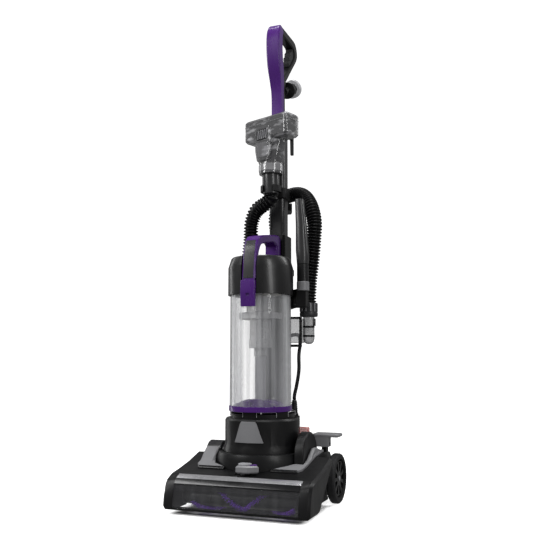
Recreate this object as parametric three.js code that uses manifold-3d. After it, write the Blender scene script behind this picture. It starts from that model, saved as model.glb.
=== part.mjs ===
// Upright bagless vacuum cleaner: floor foot, reclining body, lift-out dirt bin, stored hose and tools.
// Millimetres, +Z up. Inside this file Y is measured back from the foot's front edge, and the outermost
// group moves everything forward by half the depth, so that the origin is under the middle of the machine.
import * as THREE from 'three';
import { mergeVertices } from 'three/addons/utils/BufferGeometryUtils.js';
import Module from 'manifold-3d';

const wasm = await Module();
wasm.setup();

// ---- driving dimensions ------------------------------------------------------------------------
const DEPTH = 356;             // front of the foot to the back of the hand grip
const HEIGHT = 1090;
const FOOT_HALF = 153;         // half the foot's width
const ARM_HALF = 122;          // half the width over the foot's two rear arms
const WALL = 3;                // moulded wall thickness
const GAP = 0.3;               // clearance kept between pieces that touch
const RUN = 0.5;               // clearance round pieces that turn

const PIVOT_Y = 152;           // recline axis, also the centre line of the motor base
const PIVOT_Z = 105;
const BALL = 83;               // radius of the round underside that turns in the foot
const BASE_RADIUS = 79;
const BASE_TOP = 180;
const RIM_RADIUS = 68;
const RIM_TOP = 193;
const NOTCH_HALF = 86;         // half the width of the opening between the rear arms
const JOURNAL = 19;
const LEFT_CAP = 24;           // arch of each pivot cap
const RIGHT_CAP = 48;

const BRUSH_Y = 38;
const BRUSH_Z = 31;
const DRUM = 17;
const BRISTLE_TIP = 26.5;
const WINDOW_HALF = 131;
const BELT_X = -111;
const BELT_WIDTH = 10;
const MOTOR_PULLEY = 8;
const BRUSH_PULLEY = 12.5;

const SLIDE = 12;              // travel of the height slider to either side

const WHEEL_RADIUS = 51.6;
const WHEEL_Y = 221;
const WHEEL_IN = 133;
const WHEEL_OUT = 150;
const ROLLER_RADIUS = 9;
const ROLLER_X = 101;
const ROLLER_Y = 100;

const BIN_Y = 140;
const CUP_RADIUS = 65;
const CUP_TOP = 436;
const DOOR_TOP = 205;
const CAP_RADIUS = 70;
const CAP_TOP = 517;
const LEG_HALF = 15;           // half the width of the carry handle

const SPINE_HALF = 30;
const SPINE_FRONT = 211;
const SPINE_BACK = 247;
const POLE_Y = 250;
const POLE_WIDE = 38;
const POLE_DEEP = 34;
const POLE_FOOT = 516;
const HANDLE_FOOT = 857;
const BRACKET_LOW = 669;
const BRACKET_HIGH = 694;

const CUFF_Y = 200;
const CUFF_RADIUS = 19.7;
const HEAD_LEFT = -59;         // ends of the stowed tool's head, from the cuff's axis
const HEAD_RIGHT = 69;
const HEAD_TURN = -20;          // the stowed tool stands turned on the cuff, in degrees
const HOOK_TILT = 25;
const HOOK_X = 5;
const CREVICE = [83, 177];
const ELBOW = [83, 216];
const HOSE_RADIUS = 17.2;
const CORD_RADIUS = 4;
const RELIEF = [50, 213];
const COIL = [-40, 352];
const COIL_RADIUS = 48;        // middle of the turns
const COIL_BAND = 16.4;        // half the width of the wound band

// ---- finishes ----------------------------------------------------------------------------------
const finish = (color, roughness, metalness = 0) =>
  new THREE.MeshStandardMaterial({ color, roughness, metalness });
const clear = (color, opacity) =>
  new THREE.MeshStandardMaterial({ color, roughness: 0.08, transparent: true, opacity });
const BLACK = finish('#141416', 0.35);
const MATT_BLACK = finish('#1b1b1d', 0.6);
const DARK_GREY = finish('#3a3a3d', 0.4);
const GREY = finish('#6d6e72', 0.4);
const LIGHT_GREY = finish('#a9abb0', 0.35);
const PURPLE = finish('#4b1f86', 0.3);
const STEEL = finish('#b9bbbe', 0.3, 0.9);
const RUBBER = finish('#101011', 0.85);
const CLEAR = clear('#e6eaee', 0.3);
const SMOKE = clear('#55555a', 0.75);

// ---- solids ------------------------------------------------------------------------------------
// A closed geometry as a solid: vertices are shared, empty triangles dropped, faces turned outward.
function solid(geometry) {
  const bare = geometry.clone();
  for (const name of Object.keys(bare.attributes)) {
    if (name !== 'position') bare.deleteAttribute(name);
  }
  const welded = mergeVertices(bare, 1e-4);
  const points = welded.attributes.position.array;
  const index = Array.from(welded.index.array);
  const corners = [];
  let volume = 0;
  const a = new THREE.Vector3();
  const b = new THREE.Vector3();
  const c = new THREE.Vector3();
  for (let i = 0; i < index.length; i += 3) {
    const [p, q, r] = index.slice(i, i + 3);
    if (p === q || q === r || r === p) continue;
    corners.push(p, q, r);
    a.fromArray(points, 3 * p);
    b.fromArray(points, 3 * q);
    c.fromArray(points, 3 * r);
    volume += a.dot(b.cross(c));
  }
  if (volume < 0) corners.reverse();
  return new wasm.Manifold(new wasm.Mesh({
    numProp: 3,
    vertProperties: new Float32Array(points),
    triVerts: new Uint32Array(corners),
  }));
}

function piece(name, body, material) {
  const { vertProperties, triVerts } = body.getMesh();
  const geometry = new THREE.BufferGeometry();
  geometry.setAttribute('position', new THREE.BufferAttribute(vertProperties, 3));
  geometry.setIndex(new THREE.BufferAttribute(triVerts, 1));
  geometry.computeVertexNormals();
  const mesh = new THREE.Mesh(geometry, material);
  mesh.name = name;
  return mesh;
}

const union = (...parts) => parts.reduce((whole, part) => whole.add(part));
const cut = (body, ...tools) => tools.reduce((rest, tool) => rest.subtract(tool), body);
const shape = (points) => new THREE.Shape(points.map(([x, y]) => new THREE.Vector2(x, y)));

const ALONG = {
  x: new THREE.Matrix4().makeBasis(
    new THREE.Vector3(0, 1, 0), new THREE.Vector3(0, 0, 1), new THREE.Vector3(1, 0, 0)),
  y: new THREE.Matrix4().makeBasis(
    new THREE.Vector3(1, 0, 0), new THREE.Vector3(0, 0, -1), new THREE.Vector3(0, 1, 0)),
  z: new THREE.Matrix4(),
};

// An outline pushed along one axis: (y, z) along x, (x, -z) along y, (x, y) along z.
function extruded(axis, outline, from, to, bevel = 0, bevelSteps = 1, curveSegments = 3) {
  const geometry = new THREE.ExtrudeGeometry(outline, {
    depth: to - from - 2 * bevel,
    bevelEnabled: bevel > 0,
    bevelSize: bevel,
    bevelOffset: -bevel,
    bevelThickness: bevel,
    bevelSegments: bevelSteps,
    curveSegments,
    steps: 1,
  });
  geometry.translate(0, 0, from + bevel);
  geometry.applyMatrix4(ALONG[axis]);
  return solid(geometry);
}
const sideCut = (points, x0, x1, bevel, steps) => extruded('x', shape(points), x0, x1, bevel, steps);
const plan = (points, z0, z1, bevel, steps) => extruded('z', shape(points), z0, z1, bevel, steps);

function block(x0, x1, y0, y1, z0, z1) {
  const geometry = new THREE.BoxGeometry(x1 - x0, y1 - y0, z1 - z0);
  geometry.translate((x0 + x1) / 2, (y0 + y1) / 2, (z0 + z1) / 2);
  return solid(geometry);
}

// A turned piece: the profile is (radius, height) about +Z, placed at x, y.
function turned(profile, x = 0, y = 0, segments = 32) {
  const geometry = new THREE.LatheGeometry(profile.map(([r, h]) => new THREE.Vector2(r, h)), segments);
  geometry.rotateX(Math.PI / 2);
  geometry.translate(x, y, 0);
  return solid(geometry);
}
const tube = (inner, outer, z0, z1) =>
  [[inner, z0], [outer, z0], [outer, z1], [inner, z1], [inner, z0]];
const rod = (radius, z0, z1) => [[0, z0], [radius, z0], [radius, z1], [0, z1]];

// The same, turned about an axis along X through a point; heights run along that axis.
function turnedX(profile, y, z, segments = 32) {
  const geometry = new THREE.LatheGeometry(profile.map(([r, h]) => new THREE.Vector2(r, h)), segments);
  geometry.rotateZ(-Math.PI / 2);
  geometry.translate(0, y, z);
  return solid(geometry);
}

// A skin through equal rings of points, closed by a fan at each end.
function loft(rings) {
  const count = rings[0].length;
  const points = rings.flat().flatMap((p) => [p.x, p.y, p.z]);
  const index = [];
  for (let i = 0; i + 1 < rings.length; i += 1) {
    for (let j = 0; j < count; j += 1) {
      const a = i * count + j;
      const b = i * count + ((j + 1) % count);
      index.push(a, b, b + count, a, b + count, a + count);
    }
  }
  for (const [ring, flip] of [[0, true], [rings.length - 1, false]]) {
    const start = ring * count;
    for (let j = 1; j + 1 < count; j += 1) {
      index.push(start, ...(flip ? [start + j + 1, start + j] : [start + j, start + j + 1]));
    }
  }
  const geometry = new THREE.BufferGeometry();
  geometry.setAttribute('position', new THREE.Float32BufferAttribute(points, 3));
  geometry.setIndex(index);
  return solid(geometry);
}

// A level ring between an ellipse (square = 2) and a rounded rectangle (square > 2).
function ringAt(x, y, z, halfX, halfY, square = 2, count = 20) {
  return Array.from({ length: count }, (_, i) => {
    const angle = (2 * Math.PI * i) / count;
    const c = Math.cos(angle);
    const s = Math.sin(angle);
    const px = Math.sign(c) * Math.abs(c) ** (2 / square) * halfX;
    const py = Math.sign(s) * Math.abs(s) ** (2 / square) * halfY;
    return new THREE.Vector3(x + px, y + py, z);
  });
}

function roundedRect(x0, x1, y0, y1, radius) {
  const outline = new THREE.Shape();
  outline.moveTo(x0 + radius, y0);
  outline.lineTo(x1 - radius, y0);
  outline.absarc(x1 - radius, y0 + radius, radius, -Math.PI / 2, 0);
  outline.absarc(x1 - radius, y1 - radius, radius, 0, Math.PI / 2);
  outline.absarc(x0 + radius, y1 - radius, radius, Math.PI / 2, Math.PI);
  outline.absarc(x0 + radius, y0 + radius, radius, Math.PI, 1.5 * Math.PI);
  return outline;
}

// Points of a smooth curve through the given ones.
const smooth = (points, count) =>
  new THREE.SplineCurve(points.map(([x, y]) => new THREE.Vector2(x, y)))
    .getPoints(count).map((p) => [p.x, p.y]);

function swept(points, radius, sides, steps) {
  const path = new THREE.CatmullRomCurve3(points.map((p) => new THREE.Vector3(...p)), false, 'centripetal');
  const outline = new THREE.Shape();
  outline.absarc(0, 0, radius, 0, 2 * Math.PI);
  return solid(new THREE.ExtrudeGeometry(outline, {
    steps, extrudePath: path, curveSegments: sides / 2, bevelEnabled: false,
  }));
}

const ball = (radius, x, y, z) => {
  const geometry = new THREE.SphereGeometry(radius, 24, 12);
  geometry.translate(x, y, z);
  return solid(geometry);
};

// ---- floor foot --------------------------------------------------------------------------------
// Height of the foot's top skin, front to back, as (y, z) points.
const FOOT_TOP = [[32, 74], [60, 79], [105, 89], [150, 103], [200, 107], [238, 104]];

function fenders() {
  const outline = [[4, 8], [0, 14], [2, 32], [9, 56], [17, 67], ...FOOT_TOP.slice(0, 4),
    [156, 100], [151, 87], [70, 14], [62, 8]];
  return sideCut(outline, -FOOT_HALF, FOOT_HALF, 5);
}

function arms(lift = 0) {
  const top = FOOT_TOP.slice(1).map(([y, z]) => [y, z + lift]);
  const outline = [[60, 10], ...top, [250, 92], [250, 40], [236, 20], [200, 10]];
  return sideCut(outline, -ARM_HALF - lift, ARM_HALF + lift);
}

function footShell() {
  const chamber = sideCut([[-5, 12], [-5, 78], [31, 78], [35, 70.5], [64, 75], [72, 60], [74, -1], [6, -1],
    [6, 12]], -WINDOW_HALF, WINDOW_HALF);
  const hollow = [[89, -1], [89, 79], [105, 85], [150, 98], [200, 103], [236, 100], [246, 90], [246, -1]];
  const inside = ARM_HALF - WALL;
  const outside = NOTCH_HALF + WALL;
  const bearing = turnedX(rod(JOURNAL + RUN, -105, 105), PIVOT_Y, PIVOT_Z, 24);
  const sliderSlot = block(-SLIDE - 5, SLIDE + 5, 47 - 4.5, 47 + 4.5, 60, 90);
  return cut(union(fenders(), arms()),
    chamber,
    sideCut(hollow, -inside, -outside),
    sideCut(hollow, outside, inside),
    ball(BALL + 2.4, 0, PIVOT_Y, PIVOT_Z),
    block(-NOTCH_HALF, NOTCH_HALF, PIVOT_Y, 260, -1, 200),
    beltRoom(),
    bearing,
    sliderSlot);
}

function basePlate() {
  const plate = extruded('z', roundedRect(-118, 118, 76, 246, 12), 4, 10 - GAP);
  const pockets = [-1, 1].flatMap((side) => [
    block(side * ROLLER_X - 8, side * ROLLER_X + 8, ROLLER_Y - 11, ROLLER_Y + 11, 0, 20),
    block(side * ROLLER_X - 12, side * ROLLER_X + 12, ROLLER_Y - 3.2, ROLLER_Y + 3.2, 6, 20),
  ]);
  return cut(plate, ...pockets);
}

function brushWindow() {
  const outline = [[1.2, 12.6], [1.2, 16], [2.6, 32], [9.4, 56.5], [11.9, 55.6], [5.3, 31.4], [4, 16],
    [4, 12.6]];
  return sideCut(outline, -WINDOW_HALF + GAP, WINDOW_HALF - GAP);
}

function windowTrim() {
  const outline = [[10.2, 59.2], [17, 67.2], [30.5, 74.2], [31.6, 71.6], [18.6, 64.8], [12.4, 57.6]];
  return sideCut(outline, -WINDOW_HALF + GAP, WINDOW_HALF - GAP);
}

// Raised cover on top of the foot, cut from its outline seen from above; side is 1 for the right one.
function topPanel(side) {
  const skin = FOOT_TOP.slice(1);
  const slab = [...skin.map(([y, z]) => [y, z + GAP]), ...skin.map(([y, z]) => [y, z + 5]).reverse()];
  const capFront = PIVOT_Y - (side > 0 ? RIGHT_CAP : LEFT_CAP) - 1;
  const rise = [[88, 86], [104, 100], [112, 108], [capFront, side > 0 ? 96 : 118], [capFront, 80], [88, 80]];
  const right = [[50, 68], [106, 71], [113, 80], [119, 150], [119, 202], [107, 206], [107, capFront],
    [88, capFront], [78, 92], [60, 76]];
  const left = [[-50, 68], [-60, 76], [-80, 88], [-88, 108], [-88, capFront], [-119, capFront], [-116, 82], [-108, 71]];
  const shoulder = side > 0
    ? sideCut([[107, 80], [107, 92], [150, 120], [168, 120], [204, 109], [204, 80]], 107, 116, 2.5)
    : sideCut(rise, -119, -87, 3);
  const below = sideCut([[50, 0], ...skin.map(([y, z]) => [y, z + GAP]), [240, 0]], -FOOT_HALF, FOOT_HALF);
  const cover = union(sideCut(slab, -FOOT_HALF, FOOT_HALF), shoulder.subtract(below));
  return cut(plan(side > 0 ? right : left, 60, 140).intersect(cover), beltRoom());
}

function pivotYoke() {
  const inner = BALL + 1.6;
  const outer = 95;
  const ring = turned([[inner, 60], [outer, 60], [outer, 100], [outer - 4, 111], [inner, 112], [inner, 60]],
    0, PIVOT_Y, 40);
  const front = block(-NOTCH_HALF + RUN, NOTCH_HALF - RUN, 0, PIVOT_Y - 24, 50, 130);
  return cut(ring.intersect(front), arms(GAP), sideCut([[0, 0], ...FOOT_TOP.map(([y, z]) => [y, z + GAP]),
    [238, 0]], -NOTCH_HALF, NOTCH_HALF));
}

// Arched bearing cover over one end of the recline pivot, between two distances from the middle.
function pivotCap(side, radius, outer) {
  const arch = new THREE.Shape();
  arch.moveTo(PIVOT_Y - radius, 80);
  arch.lineTo(PIVOT_Y + radius, 80);
  arch.absarc(PIVOT_Y, PIVOT_Z, radius, 0, Math.PI);
  const inner = NOTCH_HALF + GAP;
  const [x0, x1] = side > 0 ? [inner, outer] : [-outer, -inner];
  const body = extruded('x', arch, x0, x1, 2, 1, 8);
  const bore = turnedX(rod(JOURNAL + RUN, -105, 105), PIVOT_Y, PIVOT_Z, 24);
  return cut(body, arms(GAP), bore, beltRoom());
}

const wheelAxle = (side) =>
  turnedX(rod(5, ...(side > 0 ? [ARM_HALF + GAP, 148.5] : [-148.5, -ARM_HALF - GAP])), WHEEL_Y, WHEEL_RADIUS, 16);

// A loop round both pulleys, grown outward from them: the hull of two discs.
function beltLoop(grow, from, to) {
  const span = new THREE.Vector2(PIVOT_Y - BRUSH_Y, PIVOT_Z - BRUSH_Z);
  const lean = Math.atan2(span.y, span.x);
  const small = MOTOR_PULLEY + grow;
  const large = BRUSH_PULLEY + grow;
  const wrap = Math.acos((large - small) / span.length());
  const outline = new THREE.Shape();
  outline.absarc(PIVOT_Y, PIVOT_Z, small, lean - wrap, lean + wrap);
  outline.absarc(BRUSH_Y, BRUSH_Z, large, lean + wrap, lean - wrap + 2 * Math.PI);
  return extruded('x', outline, from, to, 0, 1, 6);
}
const beltRoom = () => beltLoop(4.6, BELT_X - 7, BELT_X + 6.8);

function driveBelt() {
  const from = BELT_X - BELT_WIDTH / 2;
  const to = BELT_X + BELT_WIDTH / 2;
  return cut(beltLoop(2.2, from, to), beltLoop(0.4, from - 1, to + 1));
}

function brushRoll() {
  return turnedX([[0, -127], [4.8, -127], [4.8, -122], [15, -122], [15, -118], [BRUSH_PULLEY, -117.5],
    [BRUSH_PULLEY, -104.5], [15, -104], [DRUM, -99], [DRUM, 120], [15, 122], [4.8, 122], [4.8, 127], [0, 127]],
  BRUSH_Y, BRUSH_Z, 16);
}

// One row of bristles: a strip that winds up the drum to the middle and back down again.
function bristleRow(start) {
  const from = -96;
  const to = 118;
  const stations = 20;
  const rings = Array.from({ length: stations + 1 }, (_, i) => {
    const part = i / stations;
    const turn = start + Math.PI * 1.15 * (1 - Math.abs(2 * part - 1));
    const corner = (radius, side) => new THREE.Vector3(
      from + part * (to - from),
      BRUSH_Y + radius * Math.cos(turn) - side * 2.4 * Math.sin(turn),
      BRUSH_Z + radius * Math.sin(turn) + side * 2.4 * Math.cos(turn));
    return [corner(DRUM + 0.9, -1), corner(BRISTLE_TIP, -1), corner(BRISTLE_TIP, 1), corner(DRUM + 0.9, 1)];
  });
  return loft(rings);
}

// Thumb slide that sets the nozzle height; its stem runs in a slot across the foot.
function heightSlider() {
  const outline = [[-9, 32], [15, 31], [35, 45], [20, 57], [-9, 56]];
  const top = plan(outline, 79.8, 95, 3);
  return union(top, turned(rod(4, 66, 81), 0, 47, 12));
}

function releasePedal() {
  const plate = extruded('z', roundedRect(92, 150, 205, 245, 6), 137, 144, 2);
  const web = block(93, 128, 205.5, 211, 117, 139);
  const lugs = union(block(104, 109.4, 217, 233, 116, 139), block(120.6, 126, 217, 233, 116, 139));
  return cut(union(plate, web, lugs), turnedX(rod(3.4, 100, 130), 225, 122, 16));
}

function pedalBracket() {
  const post = cut(block(110, 120, 216, 234, 100, 131), arms(GAP));
  return union(post, turnedX(rod(3, 103, 127), 225, 122, 16));
}

// ---- wheels ------------------------------------------------------------------------------------
function tyre(side) {
  const inner = 40;
  const round = [[inner, WHEEL_IN], [49, WHEEL_IN], [WHEEL_RADIUS, WHEEL_IN + 3],
    [WHEEL_RADIUS, WHEEL_OUT - 3], [49, WHEEL_OUT], [inner, WHEEL_OUT], [inner, WHEEL_IN]];
  return turnedX(round.map(([r, x]) => [r, side * x]), WHEEL_Y, WHEEL_RADIUS, 32);
}

function wheelDisc(side) {
  const rim = new THREE.Shape();
  rim.absarc(WHEEL_Y, WHEEL_RADIUS, 40 - GAP, 0, 2 * Math.PI);
  const spokes = 9;
  for (let i = 0; i < spokes; i += 1) {
    const middle = (2 * Math.PI * i) / spokes;
    const hole = new THREE.Path();
    hole.absarc(WHEEL_Y, WHEEL_RADIUS, 34, middle - 0.22, middle + 0.22, false);
    hole.absarc(WHEEL_Y, WHEEL_RADIUS, 15, middle + 0.18, middle - 0.18, true);
    rim.holes.push(hole);
  }
  const [x0, x1] = side > 0 ? [137, 147] : [-147, -137];
  return cut(extruded('x', rim, x0, x1, 0, 1, 3), turnedX(rod(5 + GAP, -160, 160), WHEEL_Y, WHEEL_RADIUS, 16));
}

const frontRoller = (side) => turnedX([[0, -11], [2.5, -11], [2.5, -7], [ROLLER_RADIUS - 1, -7],
  [ROLLER_RADIUS, -6], [ROLLER_RADIUS, 6], [ROLLER_RADIUS - 1, 7], [2.5, 7], [2.5, 11], [0, 11]],
ROLLER_Y, ROLLER_RADIUS, 14).translate([side * ROLLER_X, 0, 0]);

// ---- motor base --------------------------------------------------------------------------------
function motorBase() {
  const outerBall = ball(BALL, 0, PIVOT_Y, PIVOT_Z).intersect(block(-90, 90, 60, 250, 45, 132));
  const innerBall = ball(BALL - WALL, 0, PIVOT_Y, PIVOT_Z).intersect(block(-90, 90, 60, 250, 48, 131));
  const barrel = turned([[0, 128], [BASE_RADIUS, 128], [BASE_RADIUS, 176], [BASE_RADIUS - 3, BASE_TOP],
    [RIM_RADIUS, BASE_TOP], [RIM_RADIUS, RIM_TOP], [0, RIM_TOP]], 0, PIVOT_Y, 32);
  const room = turned([[0, 120], [BASE_RADIUS - WALL, 120], [BASE_RADIUS - WALL, 174], [50, 174], [50, 178],
    [RIM_RADIUS - WALL, 178], [RIM_RADIUS - WALL, 200], [0, 200]], 0, PIVOT_Y, 32);
  const back = extruded('z', roundedRect(-62, 62, 190, 224, 12), 128, BASE_TOP);
  const backRoom = block(-58, 58, 195, 220, 131, 174);
  const journals = turnedX(rod(JOURNAL, -104, 104), PIVOT_Y, PIVOT_Z, 24);
  const shaftRoom = turnedX(rod(9, -110, 110), PIVOT_Y, PIVOT_Z, 16);
  const teeth = [0, 1, 2, 3, 4, 5].map((i) => {
    const notch = new THREE.BoxGeometry(40, 12, 8);
    notch.translate(0, -RIM_RADIUS, 0);
    notch.rotateZ((i * Math.PI) / 3 + 0.5);
    notch.translate(0, PIVOT_Y, RIM_TOP);
    return solid(notch);
  });
  const switchSlot = block(60, 64, 200, 215.5, 136.6, 157.4);
  const spineSeat = block(-31, 31, SPINE_FRONT - RUN, 230, BASE_TOP, 200);
  return cut(union(outerBall, barrel, back, journals), innerBall, room, backRoom, shaftRoom, switchSlot,
    spineSeat, ...teeth);
}

function badgePlate() {
  const face = tube(BASE_RADIUS + GAP, BASE_RADIUS + 2.2, 120, 190);
  const trapezoid = [[-15, -176], [15, -176], [18, -172], [31, -134], [-31, -134], [-18, -172]];
  return turned(face, 0, PIVOT_Y, 36).intersect(extruded('y', shape(trapezoid), 40, PIVOT_Y - 40));
}

const motor = () => turnedX([[6, -50], [30, -50], [40, -42], [40, 24], [32, 30], [6, 30], [6, -50]],
  PIVOT_Y, PIVOT_Z, 20);

const motorShaft = () => turnedX([[0, -117.5], [MOTOR_PULLEY, -117.5], [MOTOR_PULLEY, -105.5],
  [4, -105.5], [4, 50], [0, 50]], PIVOT_Y, PIVOT_Z, 16);

function motorFan() {
  const hub = turnedX(tube(4 + GAP, 12, 34, 46), PIVOT_Y, PIVOT_Z, 12);
  const disc = turnedX(tube(10, 50, 34, 37), PIVOT_Y, PIVOT_Z, 24);
  const blades = Array.from({ length: 8 }, (_, i) => {
    const blade = new THREE.BoxGeometry(10, 34, 2);
    blade.translate(41, 28, 6);
    blade.rotateX((i * Math.PI) / 4);
    blade.translate(0, PIVOT_Y, PIVOT_Z);
    return solid(blade);
  });
  return union(hub, disc, ...blades);
}

function powerPedal() {
  const tab = extruded('z', roundedRect(60, 85, 200.5, 215, 4), 141, 157, 2);
  return tab.intersect(block(60.5, 90, 190, 230, 140, 160));
}

// ---- back, pole and handle ---------------------------------------------------------------------
function rearSpine() {
  const outline = roundedRect(-SPINE_HALF, SPINE_HALF, SPINE_FRONT, SPINE_BACK, 8);
  outline.holes.push(roundedRect(-SPINE_HALF + WALL, SPINE_HALF - WALL, SPINE_FRONT + WALL,
    SPINE_BACK - WALL, 5));
  return extruded('z', outline, BASE_TOP + GAP, 491.7);
}

function poleOutline(grow = 0, radius = 9) {
  return roundedRect(-POLE_WIDE / 2 - grow, POLE_WIDE / 2 + grow, POLE_Y - POLE_DEEP / 2 - grow,
    POLE_Y + POLE_DEEP / 2 + grow, radius);
}

function poleSocket() {
  const flange = extruded('z', roundedRect(-SPINE_HALF, SPINE_HALF, SPINE_FRONT, 278, 8), 492, 506.5, 1);
  const collar = extruded('z', roundedRect(-23, 23, 226.5, 278, 7), 500, 583, 1.5);
  return cut(union(flange, collar), extruded('z', poleOutline(GAP), POLE_FOOT - GAP, 600));
}

function pole() {
  const outline = poleOutline();
  outline.holes.push(poleOutline(-2.5, 7));
  return extruded('z', outline, POLE_FOOT, HANDLE_FOOT);
}

// Ring round the pole with a clip for the hose end in front and a cradle for the hose behind.
function hoseBracket() {
  const ring = extruded('z', poleOutline(4), BRACKET_LOW, BRACKET_HIGH, 1);
  const clip = turned(tube(CUFF_RADIUS + 0.6, CUFF_RADIUS + 4, 676, 690), 0, CUFF_Y, 32);
  const neck = block(-8, 8, CUFF_Y + 21, 231, 676, 690);
  const mouth = block(-12, 12, CUFF_Y - 30, CUFF_Y, 670, 700);
  const back = POLE_Y + POLE_DEEP / 2;
  const arm = sideCut([[back + 2, 694], [back + 2, 640], [back + 12, 642], [320, 648], [327, 654], [327, 676],
    [322, 676], [320, 657], [back + 12, 651], [back + 6, 660], [back + 6, 694]], -6, 6);
  return cut(union(ring, clip.subtract(mouth), neck, arm), extruded('z', poleOutline(GAP), 600, 720));
}

// Front band of the handle: rises along the pole, bows forward and turns over at the top.
function handleFront() {
  const front = smooth([[236, HANDLE_FOOT + GAP], [236, 905], [230, 942], [217, 976], [210, 1010],
    [209, 1046], [215, 1072], [228, 1086], [243, HEIGHT]], 22);
  const back = smooth([[243, 1071], [238, 1062], [236, 1040], [238, 1010], [244, 980], [249, 950],
    [251, 915], [251.4, HANDLE_FOOT + GAP]], 16);
  const face = [[-12.5, -850], [-12.5, -925], [-16.5, -985], [-16.5, -1070], [-13, -1083], [-8, -1095],
    [8, -1095], [13, -1083], [16.5, -1070], [16.5, -985], [12.5, -925], [12.5, -850]];
  return sideCut([...front, ...back], -16.5, 16.5, 3).intersect(extruded('y', shape(face), 190, 270));
}

// Back half of the handle: rises behind the band, then loops back and over to close the hand hole.
function handleLoop() {
  const outer = smooth([[267, HANDLE_FOOT + GAP], [267, 945], [288, 976], [320, 1011], [347, 1040],
    [DEPTH, 1058], [351, 1077], [335, 1089], [300, HEIGHT], [243.6, HEIGHT]], 26);
  const inner = smooth([[243.6, 1071], [296, 1071], [326, 1068], [335, 1056], [329, 1040], [303, 1011],
    [272, 982], [252.4, 962], [252.2, 905], [252.2, HANDLE_FOOT + GAP]], 24);
  const clamped = outer.map(([y, z]) => [Math.min(y, DEPTH), Math.min(z, HEIGHT)]);
  const hookBore = tilted([[0, -7.3], [4.2, -7.3], [4.2, 12], [0, 12]]);
  return cut(sideCut([...clamped, ...inner], -11, 11, 2.5), hookBore);
}

function gripPad() {
  const fingers = smooth([[304, 1014], [301, 1022], [306, 1029], [305, 1037], [312, 1043], [313, 1052],
    [320, 1058], [323, 1066.5]], 14);
  const seat = smooth([[326.5, 1066.5], [333.5, 1056], [327.5, 1041], [306, 1017]], 8);
  return sideCut([...fingers, ...seat], -8, 8);
}

function tilted(profile, segments = 20) {
  const geometry = new THREE.LatheGeometry(profile.map(([r, h]) => new THREE.Vector2(r, h)), segments);
  geometry.rotateX((HOOK_TILT * Math.PI) / 180);
  geometry.translate(HOOK_X, POLE_Y + POLE_DEEP / 2, 936);
  return solid(geometry);
}

// Swivelling hook; its pin turns in the back of the handle.
const upperCordHook = () => tilted([[0, -7], [4, -7], [4, 4.5], [9, 4.5], [9, 28], [20, 30], [20, 35],
  [14, 37], [14, 66], [21, 68], [21.5, 78], [18, 82], [0, 82]]);

function lowerCordHook() {
  const back = POLE_Y + POLE_DEEP / 2 + GAP;
  return sideCut([[back, 818], [back, 852], [back + 6, 856], [332, 850], [336, 842], [336, 798], [330, 798],
    [328, 834], [back + 10, 838]], 0, 8, 1);
}

// ---- air path, hose ends and stored tools ------------------------------------------------------
const inletDuct = () => plan([[SPINE_HALF + 0.4, 213], [42, 201], [70, 201], [70, 230], [SPINE_HALF + 0.4, 230]],
  337, 391, 2);

const hoseElbow = () => turned([[0, 334], [6, 335], [10.5, 339], [12.4, 346], [12.4, 393.7], [0, 393.7]],
  ...ELBOW, 20);

const lowerCuff = () => turned([[14, 394], [19, 394], [20, 397], [20, 402], [19, 404], [19.6, 424],
  [14, 424], [14, 394]], ...ELBOW, 20);

const upperCuff = () => turned([[14, 672], [18, 672], [CUFF_RADIUS, 690.6], [CUFF_RADIUS, 716],
  [17, 716.5], [17, 736], [14, 736], [14, 672]], 0, CUFF_Y, 20);

// Turns a stowed piece about the upper cuff's upright axis.
function turnedOnCuff(made) {
  return made.translate([0, -CUFF_Y, 0]).rotate([0, 0, HEAD_TURN]).translate([0, CUFF_Y, 0]);
}

function turboHead() {
  const body = extruded('z', roundedRect(HEAD_LEFT, HEAD_RIGHT, 172, 220, 9), 794, 846, 5);
  const neck = loft([ringAt(0, CUFF_Y, 717, 27, 27), ringAt(0, CUFF_Y, 741, 27, 27),
    ringAt(0, CUFF_Y, 746, 30, 25, 2.2), ringAt(0, 198, 786, 38, 20, 3), ringAt(0, 197, 802, 38, 20, 3)]);
  const throat = loft([ringAt(0, CUFF_Y, 710, 20.4, 20.4), ringAt(0, CUFF_Y, 740, 20.4, 20.4),
    ringAt(0, 198, 786, 34, 16, 3), ringAt(0, 197, 806, 34, 15, 3)]);
  const room = block(HEAD_LEFT + WALL, HEAD_RIGHT - WALL, 176, 240, 799, 842);
  return turnedOnCuff(cut(union(body, neck), throat, room));
}

function turboBrush() {
  const from = HEAD_LEFT + 5;
  const to = HEAD_RIGHT - 5;
  const profile = [[0, from], [16, from], [17.5, from + 3], [17.5, to - 3], [16, to], [0, to]];
  return turnedOnCuff(turnedX(profile, 199, 821, 24));
}

function creviceTool() {
  const [x, y] = CREVICE;
  return loft([ringAt(x, y, 480, 10, 10), ringAt(x, y, 505.4, 10, 10), ringAt(x, y, 505.8, 13, 13),
    ringAt(x, y, 520, 14, 14), ringAt(x - 1, y, 534, 14, 14, 2.4), ringAt(x - 4, y + 3, 590, 11.5, 13, 2.8),
    ringAt(x - 9, y + 6, 650, 9, 12, 3)]);
}

function creviceHolder() {
  const [x, y] = CREVICE;
  const cup = turned([[0, 447], [13, 447], [13, 505], [0, 505]], x, y, 28);
  const arm = plan([[SPINE_HALF + GAP, 214], [46, 197], [60, 181], [72, 167], [92, 168], [92, 188], [64, 192],
    [54, 206], [44, 226], [SPINE_HALF + GAP, 226]], 412, 452, 2);
  return cut(union(cup, arm), turned(rod(10.3, 479.5, 520), x, y, 24));
}

// ---- dirt bin ----------------------------------------------------------------------------------
const binCup = () => turned(tube(CUP_RADIUS - 2.5, CUP_RADIUS, DOOR_TOP + GAP, CUP_TOP), 0, BIN_Y, 32);

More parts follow.
